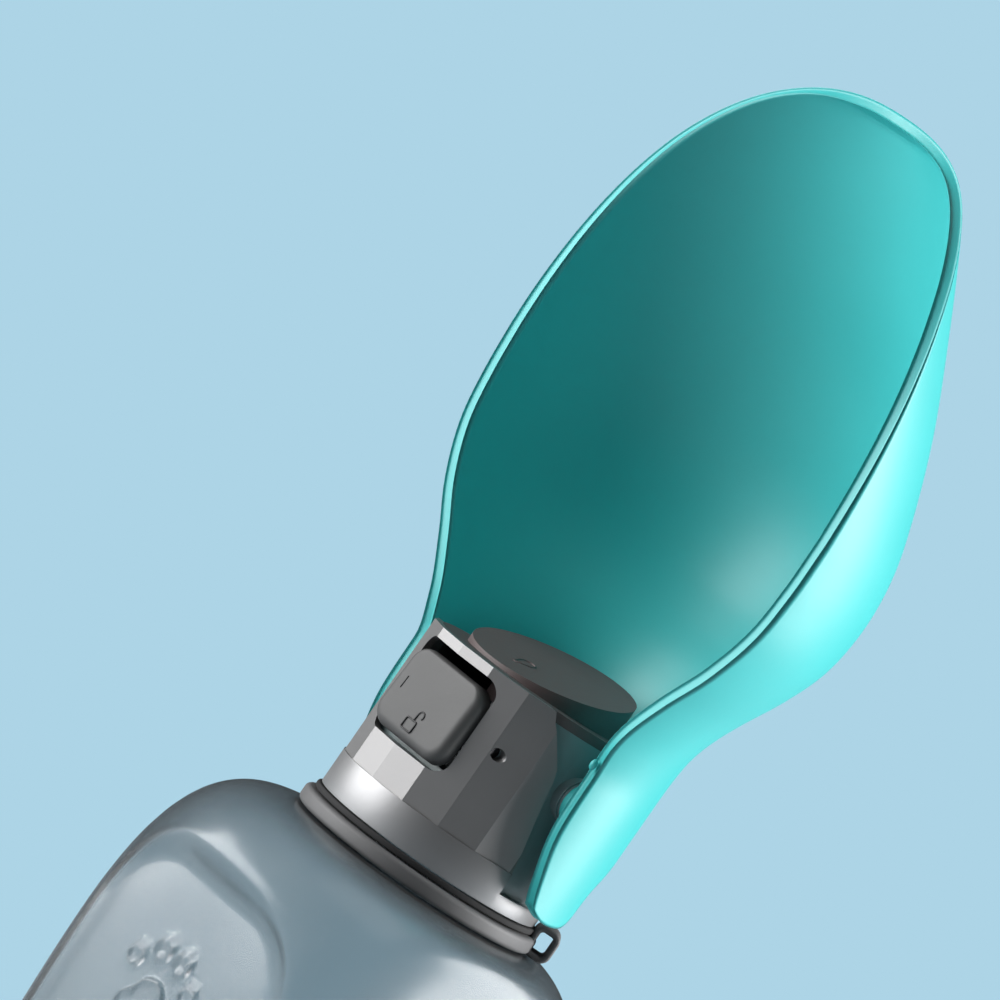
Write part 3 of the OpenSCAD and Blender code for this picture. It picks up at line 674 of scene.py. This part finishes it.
# ---------------------------------------------------------------- bowl
SLEEVE_R = 26.4
FLARE_Z = 5.2
BOWL_WALL = 2.0
BOWL_HALF_W = 43.6
WIDEST_END = 0.45
TIP_POWER = 2.2
TIP_ROOT = 2.55
TIP_ROLL = 20.0
# Lower edge of the sleeve: share of the way from the back to the front corner, angle from the back
EDGE_ANGLE = [(0, 0), (0.18, 20), (0.3, 33), (0.43, 45.5), (0.53, 54), (0.61, 60.4), (0.68, 62.2),
              (0.73, 63), (0.77, 66), (0.825, 72), (0.915, 82), (1, 90.7)]
# The same edge: share of the way, share of the sleeve's depth
EDGE_DEPTH = [(0, 0.01), (0.18, 0.04), (0.3, 0.122), (0.43, 0.255), (0.53, 0.423), (0.61, 0.592),
              (0.68, 0.76), (0.73, 0.883), (0.77, 0.969), (0.825, 1), (0.915, 1), (1, 0.929)]
# Front edge of the sleeve: share of the way up, angle from the back
FRONT_EDGE = [(0, 90.7), (0.115, 94), (0.39, 99.5), (0.56, 101.7), (0.74, 102.5), (1, 102.8)]
SLEEVE_OPEN = math.radians(FRONT_EDGE[-1][1])
# Scoop by the share of its height: growth of the half width, back wall behind the sleeve, rim before it
WIDTH_LINE = [(0, 0), (0.07, 0.095), (0.14, 0.35), (0.21, 0.655), (0.29, 0.885), (0.37, 0.972), (0.45, 1)]
BACK_LINE = [(0, 0), (0.1, -0.3), (0.17, 1.9), (0.24, 5.6), (0.3, 8.1), (0.37, 9), (0.44, 8.1), (0.51, 5.4),
             (0.65, -2.9), (0.78, -12.8), (0.9, -22.4), (0.97, -28), (0.99, -29.9), (1, -32.2)]
RIM_LINE = [(0, 0), (0.06, 1.5), (0.14, 2.85), (0.24, 4.1), (0.38, 5.1), (0.52, 5.95), (0.66, 6.25),
            (0.78, 5.95), (0.86, 5), (0.92, 3.7), (1, 1)]
RIM_ROUND = 0.4
NUB_Z = 7.4
NUB_R = 0.6
NUB_HALF_H = 1.0
NUB_IN = 1.2
NUB_OUT = 0.3
BOWL_COLUMNS = 80
SLEEVE_ROWS = 44
LOW_ROWS = 36
TIP_ROWS = 76


def bowl_half_width(h):
    """Half the scoop's width at a share h of its height."""
    narrow = SLEEVE_R * math.sin(SLEEVE_OPEN)
    if h < WIDEST_END:
        return narrow + (BOWL_HALF_W - narrow) * smooth_through(WIDTH_LINE, h)
    u = (h - WIDEST_END) / (1 - WIDEST_END)
    return BOWL_HALF_W * max(0, 1 - u ** TIP_POWER) ** (1 / TIP_ROOT)


def edge_point(s):
    """Angle from the back and height over the pivots of the sleeve's lower edge."""
    share = abs(s)
    angle = smooth_through(EDGE_ANGLE, share, EDGE_ANGLE[1][1] / EDGE_ANGLE[1][0])
    return math.copysign(angle, s), -SLEEVE_DROP * smooth_through(EDGE_DEPTH, share)


def sleeve_point(t, s):
    """Outside of the sleeve, t from its lower edge to the flare, s from one front edge to the other."""
    angle, edge_z = edge_point(s)
    t += (1 - t) * RIM_ROUND / (FLARE_Z - edge_z)
    front = smooth_through(FRONT_EDGE, t, 30.0)
    z = (1 - t) * edge_z + t * FLARE_Z
    reach = front - math.degrees(RIM_ROUND / SLEEVE_R)
    a = math.radians((1 - t) * angle * reach / FRONT_EDGE[0][1] + t * s * reach)
    return SLEEVE_R * math.sin(a), SLEEVE_R * math.cos(a), z


def scoop_point(h, s):
    """Outside of the scoop at a share h of its height; its depth closes with its width at the tip."""
    w = bowl_half_width(h)
    f = -SLEEVE_R * math.cos(SLEEVE_OPEN) + smooth_through(RIM_LINE, h)
    depth = SLEEVE_R + smooth_through(BACK_LINE, h) + f
    if h > WIDEST_END:
        depth = min(depth, w * w / (2 * TIP_ROLL))
    r = (w * w + depth * depth) / (2 * depth)
    a = s * max(math.acos((r - depth) / r) - RIM_ROUND / r, 0.0)
    y = depth - f - r + r * math.cos(a)
    return r * math.sin(a), y, FLARE_Z + h * (BOWL_TOP - RIM_ROUND / 2 - FLARE_Z)


def scoop_heights():
    """Shares of the scoop's height for its rows, which stay evenly spread along the rim to the tip."""
    low_rows = [WIDEST_END * i / LOW_ROWS for i in range(LOW_ROWS)]
    turns = [math.cos(math.pi / 2 * i / TIP_ROWS) for i in range(TIP_ROWS)]
    return low_rows + [WIDEST_END + (1 - WIDEST_END) * (1 - m ** TIP_ROOT) ** (1 / TIP_POWER) for m in turns]


def rim_profile():
    """(depth into the wall, reach beyond the sheet) of the rim: flat, with two small round edges."""
    turn = [math.radians(a) for a in (22, 45, 68, 90)]
    first = [(RIM_ROUND * (1 - math.cos(a)), RIM_ROUND * math.sin(a)) for a in turn]
    first.append((RIM_ROUND + 0.15, RIM_ROUND))
    return first + [(BOWL_WALL - depth, out) for depth, out in reversed(first)]


def bowl_nub():
    """The small rounded stop on the right front edge, just over the sleeve."""
    x, y, _ = scoop_point((NUB_Z - FLARE_Z) / (BOWL_TOP - FLARE_Z), 1)
    steps = [math.radians(10 * k) for k in range(1, 18)]
    path = [(x - NUB_IN, y - NUB_OUT, HUB_Z + NUB_Z - NUB_HALF_H * math.cos(a)) for a in steps]
    return tube(path, [NUB_R * math.sin(a) for a in steps], sides=12)


def build_bowl():
    """Sleeve and scoop as one sheet, thickened inwards, with a rim all round."""
    columns = [2 * j / BOWL_COLUMNS - 1 for j in range(BOWL_COLUMNS + 1)]
    grid = [[sleeve_point(i / SLEEVE_ROWS, s) for s in columns] for i in range(SLEEVE_ROWS)]
    grid += [[scoop_point(h, s) for s in columns] for h in scoop_heights()]
    wide, tall = BOWL_COLUMNS + 1, len(grid)
    tip = wide * tall
    shift = tip + 1
    grid = np.array(grid) + (0, 0, HUB_Z)
    normals = grid_normals(grid, False)
    top = (0, -RIM_LINE[-1][1] + SLEEVE_R * math.cos(SLEEVE_OPEN), HUB_Z + BOWL_TOP - RIM_ROUND / 2)
    outer = np.concatenate([grid.reshape(-1, 3), [top]])
    normals = np.concatenate([normals.reshape(-1, 3), [normals[-2, wide // 2]]])
    inner = outer + BOWL_WALL * normals
    faces = [(tip - wide + j, tip, tip - wide + j + 1) for j in range(BOWL_COLUMNS)]
    faces += [(shift + a, shift + c, shift + b) for a, b, c in faces]
    for i in range(tall - 1):
        for j in range(BOWL_COLUMNS):
            a = i * wide + j
            faces.append((a, a + wide, a + wide + 1, a + 1))
            b = a + shift
            faces.append((b, b + 1, b + wide + 1, b + wide))
    around = list(range(wide)) + [i * wide + wide - 1 for i in range(1, tall)] + [tip]
    ids = np.array(around + [i * wide for i in range(tall - 1, 0, -1)])
    edge = outer[ids]
    across = normals[ids]
    along = np.roll(edge, -1, axis=0) - np.roll(edge, 1, axis=0)
    away = np.cross(across, along)
    away = away + np.roll(away, 1, axis=0) + np.roll(away, -1, axis=0)
    away /= np.linalg.norm(away, axis=1, keepdims=True)
    strips = [ids]
    verts = [outer, inner]
    for k, (depth, out) in enumerate(rim_profile()):
        verts.append(edge + depth * across + out * away)
        strips.append(2 * shift + k * len(ids) + np.arange(len(ids)))
    strips.append(ids + shift)
    for first, second in zip(strips, strips[1:]):
        for k in range(len(ids)):
            m = (k + 1) % len(ids)
            faces.append((first[k], first[m], second[m], second[k]))
    verts, faces = merged([(np.concatenate(verts), faces), bowl_nub()])
    faces = [tuple(int(v) for v in face) for face in faces]
    obj = new_object("drinking_bowl", np.array(verts) * MM, faces)
    obj.data.materials.append(BOWL)
    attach(obj, "bowl")
    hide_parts("bowl")


# ---------------------------------------------------------------- camera, floor and light
# The photo is PHOTO_WIDTH wide at the bottle's axis, and aims beside and above the strap ring
VIEW_AZIMUTH = 44.5
VIEW_ELEVATION = 3.0
LEAN = math.radians(34.65)
PHOTO_WIDTH = 165.3
DISTANCE = 1200.0
AIM_RIGHT = -23.4
AIM_UP = 57.7
PALE_BLUE = linear(173, 212, 230)
LIGHT_AIM_Z = 180.0
FLOOR_HALF = 3.0


def direction(azimuth, elevation):
    """Unit vector at an azimuth round from the front and an elevation, both in degrees."""
    az, el = math.radians(azimuth), math.radians(elevation)
    return Vector((math.sin(az) * math.cos(el), -math.cos(az) * math.cos(el), math.sin(el)))


def place_camera():
    """Camera with the photo's view, leaning so that the bottle stands askew."""
    toward = direction(VIEW_AZIMUTH, VIEW_ELEVATION)
    az = math.radians(VIEW_AZIMUTH)
    right = Vector((math.cos(az), math.sin(az), 0))
    up = toward.cross(right)
    aim = Vector((0, 0, RING_MID)) + AIM_RIGHT * right + AIM_UP * up
    x_axis = math.cos(LEAN) * right + math.sin(LEAN) * up
    y_axis = math.cos(LEAN) * up - math.sin(LEAN) * right
    turn = Matrix((x_axis, y_axis, toward)).transposed().to_4x4()
    camera = bpy.data.objects.new("camera", bpy.data.cameras.new("camera"))
    camera.matrix_world = Matrix.Translation((aim + DISTANCE * toward) * MM) @ turn
    camera.data.lens = camera.data.sensor_width * DISTANCE / PHOTO_WIDTH
    camera.data.clip_start = 0.01
    bpy.context.scene.collection.objects.link(camera)
    bpy.context.scene.camera = camera


def area_light(name, azimuth, elevation, distance, size, power):
    """Rectangular lamp in a direction from the middle of the part, facing it; distance in metres."""
    toward = direction(azimuth, elevation)
    data = bpy.data.lights.new(name, "AREA")
    data.shape = "RECTANGLE"
    data.size, data.size_y = size
    data.energy = power
    lamp = bpy.data.objects.new(name, data)
    lamp.location = Vector((0, 0, LIGHT_AIM_Z * MM)) + toward * distance
    lamp.rotation_euler = toward.to_track_quat("Z", "Y").to_euler()
    bpy.context.scene.collection.objects.link(lamp)


def camera_only_color(nodes, links, plain, color):
    """The shader plain, but a flat colour where the camera sees it, also through the clear bottle."""
    path = nodes.new("ShaderNodeLightPath")
    flat = nodes.new("ShaderNodeEmission")
    flat.inputs["Color"].default_value = color
    either = nodes.new("ShaderNodeMath")
    either.operation = "MAXIMUM"
    links.new(path.outputs["Is Camera Ray"], either.inputs[0])
    links.new(path.outputs["Is Transmission Ray"], either.inputs[1])
    mix = nodes.new("ShaderNodeMixShader")
    links.new(either.outputs[0], mix.inputs["Fac"])
    links.new(plain, mix.inputs[1])
    links.new(flat.outputs[0], mix.inputs[2])
    return mix


def build_world():
    world = bpy.data.worlds.new("studio")
    bpy.context.scene.world = world
    world.use_nodes = True
    nodes, links = world.node_tree.nodes, world.node_tree.links
    soft = nodes["Background"]
    soft.inputs["Color"].default_value = linear(232, 236, 238)
    soft.inputs["Strength"].default_value = 0.05
    mix = camera_only_color(nodes, links, soft.outputs[0], PALE_BLUE)
    links.new(mix.outputs[0], nodes["World Output"].inputs["Surface"])


def build_floor():
    half = FLOOR_HALF
    floor = new_object("floor", [(-half, -half, 0), (half, -half, 0), (half, half, 0), (-half, half, 0)],
                       [(0, 1, 2, 3)])
    mat = material("floor_blue", linear(176, 186, 192), 0.8)
    nodes, links = mat.node_tree.nodes, mat.node_tree.links
    mix = camera_only_color(nodes, links, nodes["Principled BSDF"].outputs[0], PALE_BLUE)
    links.new(mix.outputs[0], nodes["Material Output"].inputs["Surface"])
    floor.data.materials.append(mat)


def build_lights():
    area_light("key", -42, 10, 1.0, (0.9, 0.7), 19)
    area_light("rim", 138, 16, 1.0, (0.6, 0.9), 24)
    area_light("top", 20, 80, 1.2, (0.8, 0.8), 2.5)


place_camera()
build_world()
build_floor()
build_lights()
dress_cad_nodes()
build_bottle()
build_flange_shade_ring()
build_strap_ring()
build_button()
build_button_mark()
build_hood_mark()
build_bowl()

bpy.context.scene.view_settings.view_transform = "Standard"
